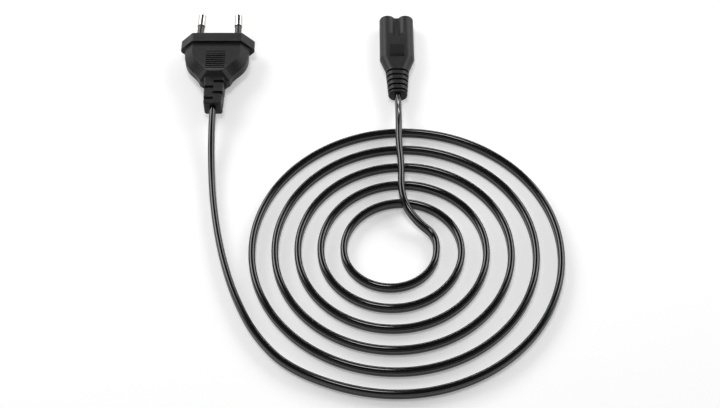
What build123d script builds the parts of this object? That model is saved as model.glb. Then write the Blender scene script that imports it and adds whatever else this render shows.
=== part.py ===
from build123d import *
from math import cos, pi, radians, sin, sqrt, tan
import os

os.makedirs("parts", exist_ok=True)

# A two-core mains lead, laid on a table: a flat two-pin plug, an open flat coil of flat cord,
# and a figure-8 appliance connector. Millimetres, +Z up, the table at Z = 0, the plug's pins and
# the connector's sockets towards +Y. The origin is on the table, midway between the two ends.

# Cord: flat, two cores one above the other, standing on its narrow edge
cord_width = 4.9
cord_thickness = 3.0
core_diameter = 2.0
core_spacing = 2.4
wire_diameter = 1.0

# Coil, clockwise and outwards from its inner end on the right
coil_inner_radius = 17.6
coil_pitch = 10.35
coil_drift = 0.41  # how far each turn lies to the right of the one inside it
coil_turns = 5
coil_last_angle = 110.0  # how far the outer end runs on past the last whole turn
coil_offset_x = 2.3  # the coil's middle, left of the connector's axis
coil_y = -109.0

# Plug, measured back from its pin face
plug_length = 42.9
flange_width = 35.3
flange_height = 13.7
flange_thickness = 5.7
flange_face_width = 23.8
flange_end_height = 1.8
flange_corner_radius = 1.4
flange_edge_radius = 0.4
plug_body_width = 30.4
plug_body_depth = 11.4
plug_bevel = 3.7
plug_shoulder_w = 10.6  # where the sides start to close in
plug_waist_w = 21.0
plug_waist_width = 22.0
plug_lip_w = 24.5
plug_lip_depth = 13.2
plug_lip_width = 16.4
plug_lip_thickness = 0.5
plug_undercut = 1.2  # from the lip's back edge down to the neck
plug_collar_w = 27.1
plug_collar_width = 14.0
plug_collar_end_width = 11.2
flare_start_w = 19.5  # where the broad faces start to swell towards the lip
neck_start_w = 28.2
relief_width = 9.4
relief_depth = 8.8
relief_end_width = 8.4
relief_end_depth = 8.0
relief_edge_radius = 0.6
relief_end_radius = 1.2
relief_root = 1.0  # how far in front of the neck's end the relief starts
relief_slot_height = 1.7
relief_slot_pitch = 3.45
relief_first_slot_w = 29.6
relief_slots = 4
relief_slot_face_reach = 5.0
relief_slot_side_reach = 5.8
relief_slot_face_depth = 1.2
relief_slot_side_depth = 1.8
grip_width = 9.2
grip_start_w = 13.0
grip_groove_pitch = 1.3
grip_grooves = 8
grip_groove_width = 0.7
grip_groove_depth = 0.5
grip_flat_length = 1.7  # a shallow flat in front of the first rib
grip_flat_depth = 0.2

# Pins: a bare tip on a thinner shank, which an insulating sleeve covers
pin_length = 19.0
pin_spacing = 18.6
pin_lean = 1.5  # degrees, each pin towards the other
pin_diameter = 4.0
pin_dome = 1.7
pin_tip_length = 8.5
shank_diameter = 2.4
sleeve_diameter = 3.35
sleeve_collar_diameter = 3.85
sleeve_collar_length = 4.3
sleeve_inside_length = 1.6
shank_inside_length = 9.0
barrel_diameter = 3.0
barrel_length = 4.5
barrel_bore_depth = 4.0

# Bridge that holds the pins apart inside the plug
bridge_w = 1.6
bridge_width = 25.0
bridge_height = 8.0
bridge_thickness = 6.0
bridge_corner_radius = 1.5

# Connector, measured back from its socket face
lobe_diameter = 8.0
socket_spacing = 8.6
web_height = 4.4
nose_length = 12.3
nose_edge_chamfer = 0.5
pocket_width = 3.0
pocket_length = 1.7
shell_length = 26.8  # where the straight part ends
taper_length = 7.7
sleeve_length = 15.8
sleeve_width = 11.2
sleeve_height = 7.6
sleeve_end_width = 8.9
sleeve_end_height = 7.0
sleeve_end_radius = 0.8
ring_grooves = 5
ring_pitch = 3.05
ring_first_w = 35.7
ring_width = 1.1
ring_depth = 0.9
ring_bridge_width = 1.9
ring_bridge_drop = 0.35
patch_width = 7.0
patch_length = 7.4
patch_overhang = 0.4
patch_rise = 0.35
patch_groove_pitch = 0.78
patch_grooves = 9
patch_groove_width = 0.36
patch_groove_depth = 0.3

# Hard insert and the two contact tubes in the connector
insert_lobe_diameter = 5.8
insert_web_height = 2.4
insert_length = 17.0
socket_entry_diameter = 2.9
socket_entry_depth = 3.0
contact_diameter = 3.2
contact_bore = 2.4
contact_tube_length = 12.0
contact_bore_depth = 11.0
contact_barrel_diameter = 2.3
contact_barrel_length = 5.0
contact_barrel_bore_depth = 4.0

# Where the cord's sheath ends inside each moulding, and how much bare wire is past the insulation
sheath_in_plug = 12.9
sheath_in_connector = 12.0
bare_wire = 2.0
core_run_out = 3.0  # straight out of a barrel, before the core bends
core_run_in = 2.2  # straight into the sheath
core_bend_radius = 2.5

# How the two ends and the cord lie
ends_spacing = 86.3
socket_face_setback = 1.6  # the socket face, behind the line of the pins' tips
tail_straight = 9.0  # straight out of the plug
lead_straight = 3.0  # straight into the connector
coil_end_straight = 20.0  # the tail's last run, in line with the coil's outer end
crossing_gap = 0.6  # between the turns and the lead that lies across them

cut_margin = 2.0  # how far a cut runs on past the surface it opens

# Places worked out from the sizes
connector_length = shell_length + taper_length + sleeve_length
connector_width = socket_spacing + lobe_diameter
ends_width = ends_spacing + flange_width / 2 + connector_width / 2
plug_x = flange_width / 2 - ends_width / 2
plug_z = flange_height / 2
plug_face_y = (plug_length - pin_length) / 2
connector_x = ends_width / 2 - connector_width / 2
connector_z = lobe_diameter / 2 + patch_rise
connector_face_y = plug_face_y + pin_length - socket_face_setback
coil_x = connector_x - coil_offset_x
floor_z = cord_width / 2
over_z = 1.5 * cord_width + crossing_gap
plug_sheath_w = plug_length - sheath_in_plug
connector_sheath_w = connector_length - sheath_in_connector

# Local frames: X across, Y up, Z back from the face along the cord
plug_origin = (plug_x, plug_face_y, plug_z)
connector_origin = (connector_x, connector_face_y, connector_z)
plug_face = Plane(origin=plug_origin, x_dir=(1, 0, 0), z_dir=(0, -1, 0))
connector_face = Plane(origin=connector_origin, x_dir=(1, 0, 0), z_dir=(0, -1, 0))


def finish(builder, name):
    """Label a finished piece and write it."""
    builder.part.label = name
    export_step(builder.part, f"parts/{name}.step")


def facing(plane, x, y, w):
    """The point x across, y up and w back in a moulding's frame."""
    return plane.from_local_coords(Vector(x, y, w))


def corner_radii(points):
    """The largest arc each corner of a route allows: 0.45 of its shorter run."""
    radii = []
    for before, here, after in zip(points, points[1:], points[2:]):
        run_in = Vector(here) - Vector(before)
        run_out = Vector(after) - Vector(here)
        half_turn = radians(run_in.get_angle(run_out)) / 2
        radii.append(0.45 * min(run_in.length, run_out.length) / tan(half_turn))
    return radii


def flare_depth(w):
    """Half the plug's depth at w: flat, then an arc that swells out to the lip."""
    if w <= flare_start_w:
        return plug_body_depth / 2
    rise = (plug_lip_depth - plug_body_depth) / 2
    run = plug_lip_w - flare_start_w
    radius = (run**2 + rise**2) / (2 * rise)
    return plug_body_depth / 2 + radius - sqrt(radius**2 - (w - flare_start_w) ** 2)


# Pins and their sleeves, leaning in towards the tips
pin_sides = {"left": -1, "right": 1}
pins = {}
sleeves = {}
for name, side in pin_sides.items():
    lean = radians(pin_lean)
    base = facing(plug_face, side * pin_spacing / 2, 0, 0)
    along = Vector(-side * sin(lean), cos(lean), 0)
    pin_plane = Plane(origin=base, x_dir=along, z_dir=(0, 0, 1))
    pin_axis = Axis(base, along)
    shoulder = pin_length - pin_tip_length

    with BuildPart() as pin:
        with BuildSketch(pin_plane):
            with BuildLine():
                outline = Polyline(
                    (pin_length - pin_dome, pin_diameter / 2),
                    (shoulder, pin_diameter / 2),
                    (shoulder, shank_diameter / 2),
                    (-shank_inside_length, shank_diameter / 2),
                    (-shank_inside_length, barrel_diameter / 2),
                    (-shank_inside_length - barrel_length, barrel_diameter / 2),
                    (-shank_inside_length - barrel_length, wire_diameter / 2),
                    (barrel_bore_depth - shank_inside_length - barrel_length, wire_diameter / 2),
                    (barrel_bore_depth - shank_inside_length - barrel_length, 0),
                    (pin_length, 0),
                    (pin_length, pin_diameter / 2 - pin_dome),
                )
                RadiusArc(outline @ 1, outline @ 0, -pin_dome)
            make_face()
        revolve(axis=pin_axis)
    pins[name] = pin

    with BuildPart() as sleeve:
        with BuildSketch(pin_plane):
            with BuildLine():
                Polyline(
                    (shoulder, shank_diameter / 2),
                    (shoulder, sleeve_diameter / 2),
                    (sleeve_collar_length, sleeve_diameter / 2),
                    (sleeve_collar_length, sleeve_collar_diameter / 2),
                    (-sleeve_inside_length, sleeve_collar_diameter / 2),
                    (-sleeve_inside_length, shank_diameter / 2),
                    close=True,
                )
            make_face()
        revolve(axis=pin_axis)
    sleeves[name] = sleeve

for name in pin_sides:
    finish(pins[name], f"{name}_pin")
    finish(sleeves[name], f"{name}_pin_sleeve")

# Bridge: a block that the two shanks run through
with BuildPart() as pin_bridge:
    with BuildSketch(plug_face.offset(bridge_w)):
        RectangleRounded(bridge_width, bridge_height, bridge_corner_radius)
    extrude(amount=bridge_thickness)
    for name in pin_sides:
        add(pins[name].part, mode=Mode.SUBTRACT)
        add(sleeves[name].part, mode=Mode.SUBTRACT)
finish(pin_bridge, "plug_pin_bridge")


def core_and_wire(end_name, pole, route, wire_reach):
    """One core of an end: its copper, and the insulation round it, along the same route."""
    first_run = (Vector(route[1]) - Vector(route[0])).normalized()
    wire_start = Vector(route[0]) - first_run * wire_reach
    radii = [core_bend_radius] * (len(route) - 2)
    with BuildPart() as wire:
        with BuildLine():
            FilletPolyline(wire_start, *route[1:], radius=radii)
        with BuildSketch(Plane(origin=wire_start, z_dir=first_run)):
            Circle(wire_diameter / 2)
        sweep()
    with BuildPart() as core:
        with BuildLine():
            FilletPolyline(*route, radius=radii)
        with BuildSketch(Plane(origin=route[0], z_dir=first_run)):
            Circle(core_diameter / 2)
        sweep()
        add(wire.part, mode=Mode.SUBTRACT)
    finish(core, f"{pole}_core_in_{end_name}")
    finish(wire, f"{pole}_wire_in_{end_name}")
    return core.part, wire.part


# Cores in the plug: from the end of the sheath out to the pins' crimped barrels
plug_inside = []
barrel_end_w = (shank_inside_length + barrel_length) * cos(radians(pin_lean))
barrel_end_x = pin_spacing / 2 + (shank_inside_length + barrel_length) * sin(radians(pin_lean))
for pole, side in (("live", 1), ("neutral", -1)):
    lean = radians(pin_lean)
    bend_run = bare_wire + core_run_out
    out_x = side * (barrel_end_x + bare_wire * sin(lean))
    bend_x = side * (barrel_end_x + bend_run * sin(lean))
    route = [
        facing(plug_face, out_x, 0, barrel_end_w + bare_wire * cos(lean)),
        facing(plug_face, bend_x, 0, barrel_end_w + bend_run * cos(lean)),
        facing(plug_face, 0, side * core_spacing / 2, plug_sheath_w - core_run_in),
        facing(plug_face, 0, side * core_spacing / 2, plug_sheath_w),
    ]
    plug_inside += core_and_wire("plug", pole, route, bare_wire + barrel_bore_depth)

# Contacts in the connector: a tube for the appliance's pin, and a barrel crimped on the wire
contacts = {}
barrel_back_w = socket_entry_depth + contact_tube_length + contact_barrel_length
for name, side in pin_sides.items():
    mouth = facing(connector_face, side * socket_spacing / 2, 0, socket_entry_depth)
    contact_plane = Plane(origin=mouth, x_dir=(0, -1, 0), z_dir=(0, 0, 1))
    contact_back = contact_tube_length + contact_barrel_length
    with BuildPart() as contact:
        with BuildSketch(contact_plane):
            with BuildLine():
                Polyline(
                    (0, contact_bore / 2),
                    (0, contact_diameter / 2),
                    (contact_tube_length, contact_diameter / 2),
                    (contact_tube_length, contact_barrel_diameter / 2),
                    (contact_back, contact_barrel_diameter / 2),
                    (contact_back, wire_diameter / 2),
                    (contact_back - contact_barrel_bore_depth, wire_diameter / 2),
                    (contact_back - contact_barrel_bore_depth, 0),
                    (contact_bore_depth, 0),
                    (contact_bore_depth, contact_bore / 2),
                    close=True,
                )
            make_face()
        revolve(axis=Axis(mouth, (0, -1, 0)))
    contacts[name] = contact
    finish(contact, f"{name}_contact")

# Insert: a hard figure-8 block that holds the contacts, bored for the appliance's pins
with BuildPart() as connector_insert:
    with BuildSketch(connector_face):
        with GridLocations(socket_spacing, 0, 2, 1):
            Circle(insert_lobe_diameter / 2)
        Rectangle(socket_spacing, insert_web_height)
    extrude(amount=insert_length)
    with BuildSketch(connector_face):
        with GridLocations(socket_spacing, 0, 2, 1):
            Circle(socket_entry_diameter / 2)
    extrude(amount=socket_entry_depth, mode=Mode.SUBTRACT)
    with BuildSketch(connector_face.offset(socket_entry_depth)):
        with GridLocations(socket_spacing, 0, 2, 1):
            Circle(contact_diameter / 2)
    extrude(amount=contact_tube_length, mode=Mode.SUBTRACT)
    with BuildSketch(connector_face.offset(socket_entry_depth + contact_tube_length)):
        with GridLocations(socket_spacing, 0, 2, 1):
            Circle(contact_barrel_diameter / 2)
    extrude(amount=insert_length, mode=Mode.SUBTRACT)
finish(connector_insert, "connector_insert")

# Cores in the connector: from the end of the sheath out to the contacts' barrels
connector_inside = []
for pole, side in (("live", 1), ("neutral", -1)):
    out_x = side * socket_spacing / 2
    route = [
        facing(connector_face, out_x, 0, barrel_back_w + bare_wire),
        facing(connector_face, out_x, 0, barrel_back_w + bare_wire + core_run_out),
        facing(connector_face, 0, side * core_spacing / 2, connector_sheath_w - core_run_in),
        facing(connector_face, 0, side * core_spacing / 2, connector_sheath_w),
    ]
    connector_inside += core_and_wire("connector", pole, route, bare_wire + contact_barrel_bore_depth)

# Cord route, chosen by hand about the coil's middle. The tail runs from inside the plug, down
# to the table and round to the coil's outer end. The lead leaves the coil's inner end, bends
# sharply, and lies across the turns behind it on its way into the connector.
last_end = radians(coil_last_angle)


def half_turn_end(k):
    """Where the k-th half turn starts, on the coil's own left-right line."""
    side = 1 if k % 2 == 0 else -1
    return side * (coil_inner_radius + k * coil_pitch / 2) + k * coil_drift / 2


last_start = half_turn_end(2 * coil_turns)
last_centre = (last_start + half_turn_end(2 * coil_turns + 1)) / 2
last_radius = last_start - last_centre
end_x = coil_x + last_centre + last_radius * cos(last_end)
end_y = coil_y - last_radius * sin(last_end)

tail_points = [
    facing(plug_face, 0, 0, plug_sheath_w),
    facing(plug_face, 0, 0, plug_length + tail_straight),
    (coil_x - 83.0, coil_y + 46.0, floor_z + 0.45),
    (coil_x - 80.5, coil_y + 23.0, floor_z),
    (coil_x - 75.9, coil_y - 1.0, floor_z),
    (coil_x - 68.9, coil_y - 24.0, floor_z),
    (coil_x - 58.8, coil_y - 44.6, floor_z),
    (end_x - coil_end_straight * sin(last_end), end_y - coil_end_straight * cos(last_end), floor_z),
    (end_x, end_y, floor_z),
]

lead_points = [
    (coil_x + coil_inner_radius, coil_y, floor_z),
    (coil_x + coil_inner_radius, coil_y + 7.5, floor_z),
    (coil_x + 10.0, coil_y + 13.0, floor_z + 2.1),
    (coil_x + 4.4, coil_y + 20.5, over_z - 0.9),
    (coil_x + 2.6, coil_y + 29.5, over_z + 0.1),
    (coil_x + 3.1, coil_y + 42.5, over_z),
    (coil_x + 2.0, coil_y + 56.5, over_z),
    (coil_x + 2.4, coil_y + 70.0, over_z),
    facing(connector_face, 0, 0, connector_length + lead_straight),
    facing(connector_face, 0, 0, connector_sheath_w),
]
cord_section = (cord_width - cord_thickness) * cord_thickness + pi * (cord_thickness / 2) ** 2


def report_cord(name, length, volume):
    """Print a cord's length, and its volume beside its section times that length."""
    print(name, "length", round(length, 1))
    print(name, "volume", round(volume, 1), "of", round(cord_section * length, 1))


def cord_along(name, points):
    """The flat cord swept along a route of straight runs and tangent arcs, on edge all the way."""
    radii = corner_radii(points)
    heading = (Vector(points[1]) - Vector(points[0])).normalized()
    with BuildPart() as tube:
        with BuildLine() as path:
            FilletPolyline(*points, radius=radii)
        with BuildSketch(Plane(origin=points[0], x_dir=(0, 0, 1), z_dir=heading)):
            SlotOverall(cord_width, cord_thickness)
        sweep()
    print(name, "radii", [round(r, 1) for r in radii])
    report_cord(name, path.wire().length, tube.part.volume)
    finish(tube, name)
    return tube


cord_tail = cord_along("cord_tail", tail_points)
cord_lead = cord_along("cord_lead", lead_points)

# Coil: half turns that each start where the last one ended, then part of one more
with BuildPart() as cord_coil:
    with BuildLine() as coil_path:
        for k in range(2 * coil_turns + 1):
            start = half_turn_end(k)
            end = half_turn_end(k + 1)
            centre = (coil_x + (start + end) / 2, coil_y, floor_z)
            arc = 180 if k < 2 * coil_turns else coil_last_angle
            CenterArc(centre, abs(start - end) / 2, 0 if k % 2 == 0 else 180, -arc)
    with BuildSketch(Plane(origin=lead_points[0], x_dir=(0, 0, 1), z_dir=(0, -1, 0))):
        SlotOverall(cord_width, cord_thickness)
    sweep()
report_cord("cord_coil", coil_path.wire().length, cord_coil.part.volume)
finish(cord_coil, "cord_coil")

# Plug body: flange, bevelled shield-shaped body with swelling faces, and slotted strain relief
plug_edge_height = plug_body_depth / 2 - plug_bevel  # half the height of the body's narrow edge


def plug_outline():
    """The body seen from above: straight sides closing in on two arcs, then the collar. It runs
    on past both ends, where the side view cuts it."""
    with BuildLine() as outline:
        front = Line((0, plug_body_depth), (plug_body_width / 2, plug_body_depth))
        straight = Line(front @ 1, (plug_body_width / 2, -plug_shoulder_w))
        waist = (plug_waist_width / 2, -plug_waist_w)
        shoulder_arc = TangentArc(straight @ 1, waist, tangent=straight % 1)
        lip = (plug_lip_width / 2, -plug_lip_w)
        waist_arc = TangentArc(shoulder_arc @ 1, lip, tangent=shoulder_arc % 1)
        Polyline(
            waist_arc @ 1,
            (plug_collar_width / 2, -plug_collar_w),
            (plug_collar_end_width / 2, -neck_start_w),
            (plug_collar_end_width / 2, -neck_start_w - plug_body_depth),
            (0, -neck_start_w - plug_body_depth),
        )
        mirror(about=Plane.YZ)
    return outline.edges()


# Strain relief of the plug: a tapering block with a rounded end and eased long edges
with BuildPart() as plug_relief:
    with BuildSketch(plug_face.offset(neck_start_w - relief_root)):
        Rectangle(relief_width, relief_depth)
    with BuildSketch(plug_face.offset(plug_length)):
        Rectangle(relief_end_width, relief_end_depth)
    loft()
    relief_end_face = plug_relief.faces().sort_by(Axis.Y)[0]
    fillet(relief_end_face.edges().filter_by(Axis.Z), relief_end_radius)
    broad_faces = plug_relief.faces().sort_by(Axis.Z)
    broad_rims = broad_faces[0].edges() + broad_faces[-1].edges()
    fillet(broad_rims.sort_by(Axis.Y)[:-2], relief_edge_radius)

with BuildPart() as plug_body:
    with BuildSketch(Plane(origin=plug_face.origin, x_dir=(1, 0, 0), z_dir=(0, 0, 1))):
        make_face(plug_outline())
    extrude(amount=plug_edge_height, both=True)
    # Bevel above and below the narrow edge, at 45 degrees
    bevel_run = plug_lip_depth / 2 - plug_edge_height
    for up in (1, -1):
        edge_middle = plug_face.origin + Vector(0, 0, up * plug_edge_height)
        rim_middle = edge_middle + Vector(0, 0, up * bevel_run)
        with BuildSketch(Plane(origin=edge_middle, x_dir=(1, 0, 0), z_dir=(0, 0, 1))):
            make_face(plug_outline())
        with BuildSketch(Plane(origin=rim_middle, x_dir=(1, 0, 0), z_dir=(0, 0, 1))):
            make_face(plug_outline())
            offset(amount=-bevel_run, kind=Kind.INTERSECTION)
        loft(ruled=True)
    # Side view: flat faces, the swell to the lip, and the undercut behind it
    with BuildSketch(Plane(origin=plug_face.origin, x_dir=(0, -1, 0), z_dir=(1, 0, 0))):
        with BuildLine():
            flat = Line((flange_thickness / 2, plug_body_depth / 2), (flare_start_w, plug_body_depth / 2))
            swell = TangentArc(flat @ 1, (plug_lip_w, plug_lip_depth / 2), tangent=flat % 1)
            Polyline(
                swell @ 1,
                (plug_lip_w + plug_lip_thickness, plug_lip_depth / 2),
                (plug_lip_w + plug_lip_thickness + plug_undercut, relief_depth / 2),
                (neck_start_w, relief_depth / 2),
                (neck_start_w, 0),
                (flange_thickness / 2, 0),
                flat @ 0,
            )
        make_face()
        mirror(about=Plane.XZ)
    extrude(amount=plug_body_width, both=True, mode=Mode.INTERSECT)
    # Flange
    with BuildSketch(plug_face):
        with BuildLine():
            Polyline(
                (-flange_face_width / 2, flange_height / 2),
                (flange_face_width / 2, flange_height / 2),
                (flange_width / 2, flange_end_height / 2),
                (flange_width / 2, -flange_end_height / 2),
                (flange_face_width / 2, -flange_height / 2),
                (-flange_face_width / 2, -flange_height / 2),
                (-flange_width / 2, -flange_end_height / 2),
                (-flange_width / 2, flange_end_height / 2),
                close=True,
            )
        flange_outline = make_face()
        fillet(flange_outline.vertices(), flange_corner_radius)
    extrude(amount=flange_thickness)
    flange_rims = plug_body.edges().group_by(Axis.Y)[-1]
    fillet(flange_rims, flange_edge_radius)
    add(plug_relief.part)
    # Slots, each round one corner of the relief and the corner across from it
    for k in range(relief_slots):
        slot_w = relief_first_slot_w + k * relief_slot_pitch
        turn = 1 if k % 2 == 0 else -1
        for up in (1, -1):
            out = turn * up
            face_slot = Plane(
                origin=facing(plug_face, 0, up * (relief_depth / 2 - relief_slot_face_depth), slot_w),
                x_dir=(out, 0, 0),
                z_dir=(0, 0, up),
            )
            with BuildSketch(face_slot):
                with Locations((relief_width / 2 - relief_slot_face_reach + relief_width / 2, 0)):
                    SlotOverall(relief_width, relief_slot_height)
            extrude(amount=relief_depth / 2, mode=Mode.SUBTRACT)
            side_slot = Plane(
                origin=facing(plug_face, out * (relief_width / 2 - relief_slot_side_depth), 0, slot_w),
                x_dir=(0, 0, up),
                z_dir=(out, 0, 0),
            )
            with BuildSketch(side_slot):
                with Locations((relief_depth / 2 - relief_slot_side_reach + relief_depth / 2, 0)):
                    SlotOverall(relief_depth, relief_slot_height)
            extrude(amount=relief_width / 2, mode=Mode.SUBTRACT)
    # Grip grooves across both broad faces
    for k in range(grip_grooves):
        groove_w = grip_start_w + k * grip_groove_pitch
        for up in (1, -1):
            floor = Plane(
                origin=facing(plug_face, 0, up * (flare_depth(groove_w) - grip_groove_depth), groove_w),
                x_dir=(1, 0, 0),
                z_dir=(0, 0, up),
            )
            with BuildSketch(floor):
                Rectangle(grip_width, grip_groove_width)
            extrude(amount=plug_lip_depth / 2, mode=Mode.SUBTRACT)
    # Shallow flat between the first groove and the plain face in front of it
    grip_flat_w = grip_start_w - grip_flat_length / 2
    for up in (1, -1):
        flat_floor = Plane(
            origin=facing(plug_face, 0, up * (plug_body_depth / 2 - grip_flat_depth), grip_flat_w),
            x_dir=(1, 0, 0),
            z_dir=(0, 0, up),
        )
        with BuildSketch(flat_floor):
            Rectangle(grip_width, grip_flat_length)
        extrude(amount=grip_flat_depth, mode=Mode.SUBTRACT)
    # The room that the inner pieces fill
    add(pin_bridge.part, mode=Mode.SUBTRACT)
    for name in pin_sides:
        add(pins[name].part, mode=Mode.SUBTRACT)
        add(sleeves[name].part, mode=Mode.SUBTRACT)
    for piece in plug_inside:
        add(piece, mode=Mode.SUBTRACT)
    add(cord_tail.part, mode=Mode.SUBTRACT)
finish(plug_body, "plug_body")

# Connector body: figure-8 nose, straight shell, taper and ringed strain relief
with BuildPart() as connector_body:
    with BuildSketch(connector_face):
        with GridLocations(socket_spacing, 0, 2, 1):
            Circle(lobe_diameter / 2)
        Rectangle(socket_spacing, web_height)
    extrude(amount=nose_length)
    face_rim = connector_body.faces().sort_by(Axis.Y)[-1].edges()
    chamfer(face_rim, nose_edge_chamfer)
    with BuildSketch(connector_face.offset(nose_length)):
        SlotOverall(connector_width, lobe_diameter)
    extrude(amount=shell_length - nose_length)
    with BuildSketch(connector_face.offset(shell_length)):
        SlotOverall(connector_width, lobe_diameter)
    with BuildSketch(connector_face.offset(shell_length + taper_length)):
        SlotOverall(sleeve_width, sleeve_height)
    loft()
    with BuildSketch(connector_face.offset(shell_length + taper_length)):
        SlotOverall(sleeve_width, sleeve_height)
    with BuildSketch(connector_face.offset(connector_length)):
        SlotOverall(sleeve_end_width, sleeve_end_height)
    loft()
    fillet(connector_body.faces().sort_by(Axis.Y)[0].edges(), sleeve_end_radius)
    # Ring grooves, with a low bridge left across each on both narrow sides
    for k in range(ring_grooves):
        ring_w = ring_first_w + k * ring_pitch
        share = (ring_w - shell_length - taper_length) / sleeve_length
        width = sleeve_width + share * (sleeve_end_width - sleeve_width)
        height = sleeve_height + share * (sleeve_end_height - sleeve_height)
        with BuildSketch(connector_face.offset(ring_w)):
            Rectangle(width + cut_margin, height + cut_margin)
            SlotOverall(width - 2 * ring_depth, height - 2 * ring_depth, mode=Mode.SUBTRACT)
            Rectangle(width - 2 * ring_bridge_drop, ring_bridge_width, mode=Mode.SUBTRACT)
        extrude(amount=ring_width, mode=Mode.SUBTRACT)
    # Grip patch on both broad faces, standing proud where the taper falls away
    patch_middle_w = shell_length + patch_overhang - patch_length / 2
    patch_top = lobe_diameter / 2 + patch_rise
    for up in (1, -1):
        patch_floor = Plane(
            origin=facing(connector_face, 0, up * sleeve_end_height / 2, patch_middle_w),
            x_dir=(1, 0, 0),
            z_dir=(0, 0, up),
        )
        with BuildSketch(patch_floor):
            Rectangle(patch_width, patch_length)
        extrude(amount=patch_top - sleeve_end_height / 2)
        groove_floor = Plane(
            origin=facing(connector_face, 0, up * (patch_top - patch_groove_depth), patch_middle_w),
            x_dir=(1, 0, 0),
            z_dir=(0, 0, up),
        )
        with BuildSketch(groove_floor):
            with GridLocations(0, patch_groove_pitch, 1, patch_grooves):
                Rectangle(patch_width + cut_margin, patch_groove_width)
        extrude(amount=lobe_diameter / 2, mode=Mode.SUBTRACT)
        # Pocket where each groove of the nose runs out
        pocket = Plane(
            origin=facing(connector_face, 0, up * web_height / 2, nose_length + pocket_length / 2),
            x_dir=(1, 0, 0),
            z_dir=(0, 0, up),
        )
        with BuildSketch(pocket):
            Rectangle(pocket_width, pocket_length)
        extrude(amount=lobe_diameter, mode=Mode.SUBTRACT)
    # The room that the inner pieces fill, and the bores through to the contacts
    add(connector_insert.part, mode=Mode.SUBTRACT)
    with BuildSketch(connector_face):
        with GridLocations(socket_spacing, 0, 2, 1):
            Circle(socket_entry_diameter / 2)
    extrude(amount=socket_entry_depth, mode=Mode.SUBTRACT)
    with BuildSketch(connector_face.offset(socket_entry_depth)):
        with GridLocations(socket_spacing, 0, 2, 1):
            Circle(contact_diameter / 2)
    extrude(amount=contact_tube_length, mode=Mode.SUBTRACT)
    for name in pin_sides:
        add(contacts[name].part, mode=Mode.SUBTRACT)
    for piece in connector_inside:
        add(piece, mode=Mode.SUBTRACT)
    add(cord_lead.part, mode=Mode.SUBTRACT)
finish(connector_body, "connector_body")
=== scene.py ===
import math

import bpy
import numpy as np
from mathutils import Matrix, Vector


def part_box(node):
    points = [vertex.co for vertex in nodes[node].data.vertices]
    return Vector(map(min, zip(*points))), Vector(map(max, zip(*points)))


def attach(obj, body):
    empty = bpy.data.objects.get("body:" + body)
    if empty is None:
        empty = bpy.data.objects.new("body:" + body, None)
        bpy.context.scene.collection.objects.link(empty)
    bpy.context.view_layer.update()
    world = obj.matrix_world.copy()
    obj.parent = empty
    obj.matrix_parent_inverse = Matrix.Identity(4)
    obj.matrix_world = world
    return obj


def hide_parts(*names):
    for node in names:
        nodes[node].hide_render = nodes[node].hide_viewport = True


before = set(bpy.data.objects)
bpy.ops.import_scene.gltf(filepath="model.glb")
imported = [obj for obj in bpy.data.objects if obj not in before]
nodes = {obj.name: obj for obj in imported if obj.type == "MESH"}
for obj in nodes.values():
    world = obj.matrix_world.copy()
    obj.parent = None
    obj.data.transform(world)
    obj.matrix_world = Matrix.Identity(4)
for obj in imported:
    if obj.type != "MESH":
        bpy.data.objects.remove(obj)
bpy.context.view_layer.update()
print("frame loaded:", len(nodes), "nodes")

scene = bpy.context.scene
scene.view_settings.view_transform = "Standard"

# What the frame says of the two ends: the cord leaves each one along its middle line
plugLow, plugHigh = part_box("plug_body")
connectorLow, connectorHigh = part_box("connector_body")
plugX = (plugLow.x + plugHigh.x) / 2
plugZ = (plugLow.z + plugHigh.z) / 2
connectorX = (connectorLow.x + connectorHigh.x) / 2
connectorZ = (connectorLow.z + connectorHigh.z) / 2


# Camera: looks down on the lead from the side of the coil, with the two ends at the top
view = {
    "lens": 70.0,
    "elevation": 52.0,
    "distance": 0.62,
    "target": (0.030, -0.085, 0.004),
    "seesFrom": 0.01,
    "seesTo": 20.0,
}


def placeCamera():
    camera = bpy.data.cameras.new("camera")
    camera.lens = view["lens"]
    camera.clip_start = view["seesFrom"]
    camera.clip_end = view["seesTo"]
    holder = bpy.data.objects.new("camera", camera)
    scene.collection.objects.link(holder)
    tilt = math.radians(view["elevation"])
    back = Vector((0, -math.cos(tilt), math.sin(tilt)))
    holder.location = Vector(view["target"]) + back * view["distance"]
    holder.rotation_mode = "QUATERNION"
    holder.rotation_quaternion = (-back).to_track_quat("-Z", "Y")
    scene.camera = holder


placeCamera()
print("camera placed")


# Cord: the route's points are the solid's own, in metres, and the coil's turns are worked out
cord = {
    "width": 0.0049,
    "thickness": 0.0030,
    "valleyRounding": 0.00018,  # of the line where the two cores' sheaths meet
    "startInside": 0.004,  # how far inside each moulding the drawn cord starts
    "length": 1.77,
    "roundSteps": 12,
    "sideSteps": 14,
    "curveSteps": 12,
    "samePlace": 1e-6,  # two points of the route closer than this are one
}
coil = {
    "middle": (0.045525, -0.109),
    "innerRadius": 0.0176,
    "pitch": 0.01035,
    "drift": 0.00041,  # how far each turn lies to the right of the one inside it
    "turns": 5,
    "lastAngle": 110.0,  # how far the outer end runs on past the last whole turn
    "pointsPerHalfTurn": 8,
}
floorZ = cord["width"] / 2  # the cord's middle line where it lies on the table
overZ = 0.00795  # and where the lead crosses the turns


def fromCoil(x, y, z):
    return (coil["middle"][0] + x, coil["middle"][1] + y, z)


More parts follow.
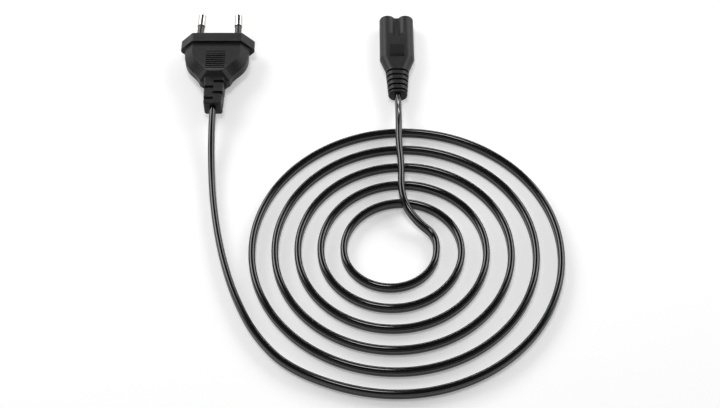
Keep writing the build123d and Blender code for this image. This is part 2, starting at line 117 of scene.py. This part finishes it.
tailPoints = [
    (plugX, plugLow.y + cord["startInside"], plugZ),
    (plugX, plugLow.y - 0.009, plugZ),
    fromCoil(-0.0830, 0.0460, floorZ + 0.00045),
    fromCoil(-0.0805, 0.0230, floorZ),
    fromCoil(-0.0759, -0.0010, floorZ),
    fromCoil(-0.0689, -0.0240, floorZ),
    fromCoil(-0.0588, -0.0446, floorZ),
    fromCoil(-0.0438, -0.0607, floorZ),
]
leadPoints = [
    fromCoil(0.0176, 0.0075, floorZ),
    fromCoil(0.0100, 0.0130, floorZ + 0.0021),
    fromCoil(0.0044, 0.0205, overZ - 0.0009),
    fromCoil(0.0026, 0.0295, overZ + 0.0001),
    fromCoil(0.0031, 0.0425, overZ),
    fromCoil(0.0020, 0.0565, overZ),
    fromCoil(0.0024, 0.0700, overZ),
    (connectorX, connectorLow.y - 0.003, connectorZ),
    (connectorX, connectorLow.y + cord["startInside"], connectorZ),
]


def halfTurnEnd(k):
    side = 1 if k % 2 == 0 else -1
    return side * (coil["innerRadius"] + k * coil["pitch"] / 2) + k * coil["drift"] / 2


def coilPoints():
    # Each half turn is a half circle whose ends lie on the coil's left-right line:
    # x = middle + R cos a, y = -R sin a, with R over cos(half a step) for the control points
    points = []
    step = 180.0 / coil["pointsPerHalfTurn"]
    outwards = 1.0 / math.cos(math.radians(step / 2))
    for k in range(2 * coil["turns"] + 1):
        start, end = halfTurnEnd(k), halfTurnEnd(k + 1)
        middle, radius = (start + end) / 2, abs(start - end) / 2
        first = 0.0 if k % 2 == 0 else 180.0
        reach = 180.0 if k < 2 * coil["turns"] else coil["lastAngle"]
        for angle in np.arange(step / 2, reach, step):
            turned = math.radians(first + angle)
            x = middle + radius * outwards * math.cos(turned)
            y = -radius * outwards * math.sin(turned)
            points.append(fromCoil(x, y, floorZ))
    return points


def cordSpline():
    # Points along one smooth curve that the control points of tail, coil and lead pull on
    points = tailPoints + coilPoints()[::-1] + leadPoints
    curve = bpy.data.curves.new("cordRoute", "CURVE")
    curve.dimensions = "3D"
    curve.resolution_u = cord["curveSteps"]
    spline = curve.splines.new("NURBS")
    spline.points.add(len(points) - 1)
    spline.points.foreach_set("co", np.column_stack([points, np.ones(len(points))]).ravel())
    spline.order_u = 3
    spline.use_endpoint_u = True
    holder = bpy.data.objects.new("cordRoute", curve)
    scene.collection.objects.link(holder)
    bpy.context.view_layer.update()
    mesh = bpy.data.meshes.new_from_object(holder.evaluated_get(bpy.context.evaluated_depsgraph_get()))
    path = np.zeros(len(mesh.vertices) * 3)
    mesh.vertices.foreach_get("co", path)
    bpy.data.meshes.remove(mesh)
    bpy.data.objects.remove(holder)
    bpy.data.curves.remove(curve)
    path = path.reshape(-1, 3)
    gaps = np.linalg.norm(np.diff(path, axis=0), axis=1)
    return path[np.concatenate([[True], gaps > cord["samePlace"]])]


def cordProfile():
    # Closed outline, (across, up), of two round sheaths one above the other: across =
    # sqrt(r^2 - (s - m)^2) between their middles at up = +-s, with m = sqrt(up^2 + rounding^2),
    # and a half circle of radius r beyond each middle
    radius = cord["thickness"] / 2
    middle = (cord["width"] - cord["thickness"]) / 2
    turn = np.linspace(0, np.pi, cord["roundSteps"] + 1)
    up = np.linspace(middle, -middle, cord["sideSteps"] + 1)[1:-1]
    across = np.sqrt(radius ** 2 - (middle - np.hypot(up, cord["valleyRounding"])) ** 2)
    top = np.column_stack([radius * np.cos(turn), middle + radius * np.sin(turn)])
    left = np.column_stack([-across, up])
    return np.vstack([top, left, -top, -left])


def carryProfile(path, profile):
    # Point (i, j) = path i + side i * across j + lift i * up j, with side level and square to
    # the path and lift square to both, so the profile stands upright all the way
    along = np.gradient(path, axis=0)
    along /= np.linalg.norm(along, axis=1)[:, None]
    side = np.cross(along, [0.0, 0.0, 1.0])
    side /= np.linalg.norm(side, axis=1)[:, None]
    lift = np.cross(side, along)
    return (path[:, None, :] + side[:, None, :] * profile[None, :, :1]
            + lift[:, None, :] * profile[None, :, 1:])


def tubeMesh(name, rings):
    # Quads between rings, an n-gon on each end, and a UV map in metres: u round, v along
    count, around = rings.shape[:2]
    index = np.arange(count * around).reshape(count, around)
    after = np.roll(index, -1, axis=1)
    quads = np.stack([index[:-1], after[:-1], after[1:], index[1:]], axis=-1).reshape(-1, 4)
    mesh = bpy.data.meshes.new(name)
    caps = [index[0][::-1].tolist(), index[-1].tolist()]
    mesh.from_pydata(rings.reshape(-1, 3), [], quads.tolist() + caps)
    width = np.linalg.norm(np.roll(rings[0], -1, axis=0) - rings[0], axis=1)
    roundEdge = np.concatenate([[0], np.cumsum(width)])
    middle = rings.mean(axis=1)
    alongEdge = np.concatenate([[0], np.cumsum(np.linalg.norm(np.diff(middle, axis=0), axis=1))])
    row, column = np.divmod(np.arange((count - 1) * around), around)
    corners = [(row, column), (row, column + 1), (row + 1, column + 1), (row + 1, column)]
    uv = np.stack([np.column_stack([roundEdge[c], alongEdge[r]]) for r, c in corners], axis=1)
    capUv = np.zeros((2 * around, 2))
    layer = mesh.uv_layers.new(name="sheath")
    layer.data.foreach_set("uv", np.vstack([uv.reshape(-1, 2), capUv]).ravel())
    smooth = np.ones(len(mesh.polygons), dtype=bool)
    smooth[-2:] = False
    mesh.polygons.foreach_set("use_smooth", smooth)
    mesh.validate()
    mesh.update()
    piece = bpy.data.objects.new(name, mesh)
    scene.collection.objects.link(piece)
    return piece


cordPath = cordSpline()
cordPiece = tubeMesh("flat_cord", carryProfile(cordPath, cordProfile()))
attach(cordPiece, "root")
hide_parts("cord_tail", "cord_coil", "cord_lead")
connectorPieces = [nodes[n] for n in sorted(nodes) if n.endswith("_in_connector")]
connectorPieces += [nodes[n] for n in ("connector_body", "connector_insert")]
connectorPieces += [nodes[n] for n in ("left_contact", "right_contact")]
print("cord laid:", round(float(np.linalg.norm(np.diff(cordPath, axis=0), axis=1).sum()), 4), "m")


# Materials: colours are sRGB hex, lengths are metres
plasticIor = 1.53
fineDetail = 2.0  # octaves of the noise in a fine grain


def linear(hexColour):
    # sRGB hex to linear: c / 12.92 below 0.04045, else ((c + 0.055) / 1.055) ** 2.4
    parts = [int(hexColour[i:i + 2], 16) / 255 for i in (1, 3, 5)]
    return [c / 12.92 if c <= 0.04045 else ((c + 0.055) / 1.055) ** 2.4 for c in parts] + [1.0]


def addNode(tree, kind, settings=None, links=None):
    # One node with its settings and its incoming links: {socket: value} and {socket: output}
    node = tree.nodes.new(kind)
    for key, value in (settings or {}).items():
        if key in node.inputs:
            node.inputs[key].default_value = value
        else:
            setattr(node, key, value)
    for key, output in (links or {}).items():
        tree.links.new(output, node.inputs[key])
    return node


def startMaterial(name):
    material = bpy.data.materials.new(name)
    material.use_nodes = True
    material.node_tree.nodes.clear()
    return material, material.node_tree


# Soft PVC moulded in a spark-eroded tool: matt black with an even fine grain, drawn 0.35 mm
# coarse so that it shows, and edges rounded 0.25 mm
mouldedPvc = {
    "name": "black moulded PVC",
    "colour": "#0b0b0c",
    "paleColour": "#242426",
    "roughness": 0.42,
    "roughnessSpread": 0.05,
    "specular": 0.22,
    "grain": 0.00035,
    "grainHeight": 0.00004,
    "edgeRadius": 0.00025,
}
# The same PVC from the connector's tool, whose edges are sharper and whose ribs are finer
connectorPvc = dict(mouldedPvc, name="black connector PVC", edgeRadius=0.0001)
# Polyamide sleeve moulded in a polished tool: black, half gloss
sleevePolyamide = {
    "name": "black polyamide",
    "colour": "#111112",
    "paleColour": "#131314",
    "roughness": 0.26,
    "roughnessSpread": 0.04,
    "specular": 0.5,
    "grain": 0.0008,
    "grainHeight": 0.000004,
    "edgeRadius": 0.00012,
}
# Glass-filled polyamide: hard, black and a little greyer and duller than the soft mouldings
filledPolyamide = {
    "name": "black glass-filled polyamide",
    "colour": "#1c1c1e",
    "paleColour": "#2a2a2c",
    "roughness": 0.42,
    "roughnessSpread": 0.05,
    "specular": 0.5,
    "grain": 0.0003,
    "grainHeight": 0.00001,
    "edgeRadius": 0.00012,
}
# Core insulation, thin extruded PVC: satin
brownInsulation = {
    "name": "brown insulation PVC",
    "colour": "#5b3720",
    "paleColour": "#633d24",
    "roughness": 0.4,
    "roughnessSpread": 0.05,
    "specular": 0.5,
    "grain": 0.0006,
    "grainHeight": 0.000005,
    "edgeRadius": 0.0001,
}
blueInsulation = dict(brownInsulation, name="blue insulation PVC", colour="#2d6cb0", paleColour="#3172ba")
moulding = {
    "cloudSize": 0.006,  # of the slow change in roughness over a piece
    "cloudDetail": 3.0,
    "darkBelow": 0.35,  # where the grain's noise gives the dark colour, and where the pale one
    "paleAbove": 0.65,
    "edgeSamples": 6,
}


def mouldedPlastic(plastic):
    # Roughness = roughness + 2 * spread * (cloud noise - 0.5); colour and height follow the
    # grain's noise; the normal is rounded over edgeRadius at the edges, as a worn tool leaves them
    material, tree = startMaterial(plastic["name"])
    place = addNode(tree, "ShaderNodeTexCoord")
    clouds = addNode(tree, "ShaderNodeTexNoise",
                     {"Scale": 1 / moulding["cloudSize"], "Detail": moulding["cloudDetail"]},
                     {"Vector": place.outputs["Object"]})
    rough = addNode(tree, "ShaderNodeMapRange",
                    {"To Min": plastic["roughness"] - plastic["roughnessSpread"],
                     "To Max": plastic["roughness"] + plastic["roughnessSpread"]},
                    {"Value": clouds.outputs["Fac"]})
    grain = addNode(tree, "ShaderNodeTexNoise", {"Scale": 1 / plastic["grain"], "Detail": fineDetail},
                    {"Vector": place.outputs["Object"]})
    tint = addNode(tree, "ShaderNodeValToRGB", links={"Fac": grain.outputs["Fac"]})
    dark, pale = tint.color_ramp.elements
    dark.position, pale.position = moulding["darkBelow"], moulding["paleAbove"]
    dark.color, pale.color = linear(plastic["colour"]), linear(plastic["paleColour"])
    rounded = addNode(tree, "ShaderNodeBevel",
                      {"samples": moulding["edgeSamples"], "Radius": plastic["edgeRadius"]})
    bump = addNode(tree, "ShaderNodeBump", {"Strength": 1.0, "Distance": plastic["grainHeight"]},
                   {"Height": grain.outputs["Fac"], "Normal": rounded.outputs["Normal"]})
    shader = addNode(tree, "ShaderNodeBsdfPrincipled",
                     {"IOR": plasticIor, "Specular IOR Level": plastic["specular"]},
                     {"Base Color": tint.outputs["Color"], "Roughness": rough.outputs["Result"],
                      "Normal": bump.outputs["Normal"]})
    addNode(tree, "ShaderNodeOutputMaterial", links={"Surface": shader.outputs["BSDF"]})
    return material


# Flexible PVC drawn through a polished die: near black and glossy, with faint drag lines that
# run along the cord, and slow dull and bright stretches
extrudedPvc = {
    "name": "black extruded PVC",
    "colour": "#060607",
    "specular": 0.5,
    "brightRoughness": 0.08,
    "dullRoughness": 0.15,
    "stretchLength": 0.02,  # of a dull or a bright stretch
    "lineWidth": 0.0003,
    "lineLength": 0.06,
    "lineHeight": 0.00002,
    "lineStrength": 0.1,
}


def extrudedPlastic(plastic):
    # Noise over the sheath's own map, stretched along it: u / lineWidth, v / lineLength
    material, tree = startMaterial(plastic["name"])
    sheath = addNode(tree, "ShaderNodeUVMap", {"uv_map": "sheath"})
    stretch = addNode(tree, "ShaderNodeMapping",
                      {"Scale": (1 / plastic["lineWidth"], 1 / plastic["lineLength"], 1.0)},
                      {"Vector": sheath.outputs["UV"]})
    lines = addNode(tree, "ShaderNodeTexNoise", {"Scale": 1.0, "Detail": fineDetail},
                    {"Vector": stretch.outputs["Vector"]})
    slow = addNode(tree, "ShaderNodeTexNoise",
                   {"Scale": 1 / plastic["stretchLength"], "Detail": fineDetail},
                   {"Vector": sheath.outputs["UV"]})
    rough = addNode(tree, "ShaderNodeMapRange",
                    {"To Min": plastic["brightRoughness"], "To Max": plastic["dullRoughness"]},
                    {"Value": slow.outputs["Fac"]})
    bump = addNode(tree, "ShaderNodeBump",
                   {"Strength": plastic["lineStrength"], "Distance": plastic["lineHeight"]},
                   {"Height": lines.outputs["Fac"]})
    shader = addNode(tree, "ShaderNodeBsdfPrincipled",
                     {"Base Color": linear(plastic["colour"]), "IOR": plasticIor,
                      "Specular IOR Level": plastic["specular"]},
                     {"Roughness": rough.outputs["Result"], "Normal": bump.outputs["Normal"]})
    addNode(tree, "ShaderNodeOutputMaterial", links={"Surface": shader.outputs["BSDF"]})
    return material


# Brass pins with bright nickel plate: near white, mirror-like with faint turning rings
nickelPlate = {
    "name": "nickel-plated brass",
    "colour": "#cbc7c0",
    "roughness": 0.09,
    "ringSpacing": 0.00025,
    "ringHeight": 0.0000006,
}
# Drawn brass and annealed copper: warm, softly bright
drawnBrass = {
    "name": "drawn brass",
    "colour": "#d2b160",
    "roughness": 0.22,
    "ringSpacing": 0.0003,
    "ringHeight": 0.000004,
}
annealedCopper = {
    "name": "annealed copper",
    "colour": "#c98863",
    "roughness": 0.28,
    "ringSpacing": 0.0002,
    "ringHeight": 0.000006,
}
turning = {
    "roundness": 0.02,  # change round a ring, as a share of the change from ring to ring
    "brightest": 0.8,  # of the metal's roughness
    "dullest": 1.3,
    "strength": 0.5,
}


def turnedMetal(metal):
    # Noise squashed along Y, so that it runs in rings round the rod, ringSpacing apart
    material, tree = startMaterial(metal["name"])
    place = addNode(tree, "ShaderNodeTexCoord")
    across = turning["roundness"] / metal["ringSpacing"]
    squash = addNode(tree, "ShaderNodeMapping", {"Scale": (across, 1 / metal["ringSpacing"], across)},
                     {"Vector": place.outputs["Object"]})
    rings = addNode(tree, "ShaderNodeTexNoise", {"Scale": 1.0, "Detail": fineDetail},
                    {"Vector": squash.outputs["Vector"]})
    rough = addNode(tree, "ShaderNodeMapRange",
                    {"To Min": metal["roughness"] * turning["brightest"],
                     "To Max": metal["roughness"] * turning["dullest"]},
                    {"Value": rings.outputs["Fac"]})
    bump = addNode(tree, "ShaderNodeBump",
                   {"Strength": turning["strength"], "Distance": metal["ringHeight"]},
                   {"Height": rings.outputs["Fac"]})
    shader = addNode(tree, "ShaderNodeBsdfPrincipled",
                     {"Base Color": linear(metal["colour"]), "Metallic": 1.0},
                     {"Roughness": rough.outputs["Result"], "Normal": bump.outputs["Normal"]})
    addNode(tree, "ShaderNodeOutputMaterial", links={"Surface": shader.outputs["BSDF"]})
    return material


finishes = [
    (mouldedPlastic(mouldedPvc), ["plug_body"]),
    (mouldedPlastic(connectorPvc), ["connector_body"]),
    (mouldedPlastic(sleevePolyamide), ["left_pin_sleeve", "right_pin_sleeve"]),
    (mouldedPlastic(filledPolyamide), ["plug_pin_bridge", "connector_insert"]),
    (mouldedPlastic(brownInsulation), ["live_core_in_plug", "live_core_in_connector"]),
    (mouldedPlastic(blueInsulation), ["neutral_core_in_plug", "neutral_core_in_connector"]),
    (turnedMetal(nickelPlate), ["left_pin", "right_pin"]),
    (turnedMetal(drawnBrass), ["left_contact", "right_contact"]),
    (turnedMetal(annealedCopper), ["live_wire_in_plug", "live_wire_in_connector",
                                   "neutral_wire_in_plug", "neutral_wire_in_connector"]),
]
for material, names in finishes:
    for name in names:
        nodes[name].data.materials.clear()
        nodes[name].data.materials.append(material)
cordPiece.data.materials.append(extrudedPlastic(extrudedPvc))
print("finishes given:", sum(len(names) for material, names in finishes) + 1, "pieces")


# Table and light: a white table that curves up into a low white wall all round, and softboxes
# in a dark room, so that black gloss stays black between its highlights
studio = {
    "flatRadius": 2.2,
    "wallRadius": 3.0,
    "wallHeight": 0.75,
    "ringSteps": 48,
    "wallSteps": 8,
    "floorColour": "#e6e6e6",
    "floorRoughness": 0.9,
    "floorGlow": 0.31,  # lifts the lit table to white for what the camera and gloss see
    "farGlow": 0.95,  # the same, where the lamps don't reach
    "glowFrom": 0.25,  # the floor's glow turns into the far one between these two radii
    "glowTo": 1.05,
    "worldStrength": 0.10,
}
lamps = {
    "topSoftbox": {"place": (-0.06, -0.08, 0.95), "size": (0.22, 0.22), "power": 2.4},
    "backStrip": {"place": (0.00, 0.84, 0.42), "size": (0.90, 0.06), "power": 2.2},
    "leftSoftbox": {"place": (-0.70, 0.50, 0.58), "size": (0.80, 0.50), "power": 6.9},
    "rightSoftbox": {"place": (0.76, 0.50, 0.58), "size": (0.80, 0.50), "power": 5.6},
}


def tableMesh():
    # Height 0 out to flatRadius, then wallHeight * (1 - cos(pi t / 2)) as t goes 0 to 1 over
    # the rest of the radius, which grows by sin(pi t / 2), turned about Z
    out = np.pi / 2 * np.linspace(0, 1, studio["wallSteps"] + 1)
    radius = studio["flatRadius"] + (studio["wallRadius"] - studio["flatRadius"]) * np.sin(out)
    height = studio["wallHeight"] * (1 - np.cos(out))
    angle = np.arange(studio["ringSteps"]) * 2 * np.pi / studio["ringSteps"]
    x = radius[:, None] * np.cos(angle)
    y = radius[:, None] * np.sin(angle)
    z = np.repeat(height[:, None], len(angle), axis=1)
    points = np.vstack([[0.0, 0.0, 0.0], np.stack([x, y, z], axis=-1).reshape(-1, 3)])
    index = 1 + np.arange(x.size).reshape(x.shape)
    after = np.roll(index, -1, axis=1)
    quads = np.stack([index[:-1], index[1:], after[1:], after[:-1]], axis=-1).reshape(-1, 4)
    middle = np.column_stack([np.zeros(len(angle), int), index[0], after[0]])
    mesh = bpy.data.meshes.new("table")
    mesh.from_pydata(points, [], quads.tolist() + middle.tolist())
    mesh.polygons.foreach_set("use_smooth", np.ones(len(mesh.polygons), dtype=bool))
    return mesh


def paintedTable():
    # Matt white, with a glow that only the camera, gloss and glass see and that goes from
    # floorGlow to farGlow with the distance from the middle
    material, tree = startMaterial("white table")
    place = addNode(tree, "ShaderNodeTexCoord")
    reach = addNode(tree, "ShaderNodeVectorMath", {"operation": "LENGTH"}, {0: place.outputs["Object"]})
    glow = addNode(tree, "ShaderNodeMapRange",
                   {"interpolation_type": "SMOOTHSTEP",
                    "From Min": studio["glowFrom"], "From Max": studio["glowTo"],
                    "To Min": studio["floorGlow"], "To Max": studio["farGlow"]},
                   {"Value": reach.outputs["Value"]})
    ray = addNode(tree, "ShaderNodeLightPath")
    mirrored = addNode(tree, "ShaderNodeMath", {"operation": "MAXIMUM"},
                       {0: ray.outputs["Is Glossy Ray"], 1: ray.outputs["Is Transmission Ray"]})
    seen = addNode(tree, "ShaderNodeMath", {"operation": "MAXIMUM"},
                   {0: ray.outputs["Is Camera Ray"], 1: mirrored.outputs[0]})
    strength = addNode(tree, "ShaderNodeMath", {"operation": "MULTIPLY"},
                       {0: seen.outputs[0], 1: glow.outputs["Result"]})
    shader = addNode(tree, "ShaderNodeBsdfPrincipled",
                     {"Base Color": linear(studio["floorColour"]), "Roughness": studio["floorRoughness"],
                      "Specular IOR Level": 0.0, "Emission Color": (1.0, 1.0, 1.0, 1.0)},
                     {"Emission Strength": strength.outputs[0]})
    addNode(tree, "ShaderNodeOutputMaterial", links={"Surface": shader.outputs["BSDF"]})
    return material


def layTable():
    table = bpy.data.objects.new("table", tableMesh())
    scene.collection.objects.link(table)
    table.data.materials.append(paintedTable())


def hangLamps():
    for name, lamp in lamps.items():
        light = bpy.data.lights.new(name, "AREA")
        light.shape = "RECTANGLE"
        light.size, light.size_y = lamp["size"]
        light.energy = lamp["power"]
        holder = bpy.data.objects.new(name, light)
        scene.collection.objects.link(holder)
        holder.location = lamp["place"]
        aim = Vector(view["target"]) - Vector(lamp["place"])
        holder.rotation_mode = "QUATERNION"
        holder.rotation_quaternion = aim.to_track_quat("-Z", "Y")


def lightWorld():
    world = bpy.data.worlds.new("studio")
    world.use_nodes = True
    background = world.node_tree.nodes["Background"]
    background.inputs["Color"].default_value = (1.0, 1.0, 1.0, 1.0)
    background.inputs["Strength"].default_value = studio["worldStrength"]
    scene.world = world


layTable()
hangLamps()
lightWorld()
print("table and lamps set")
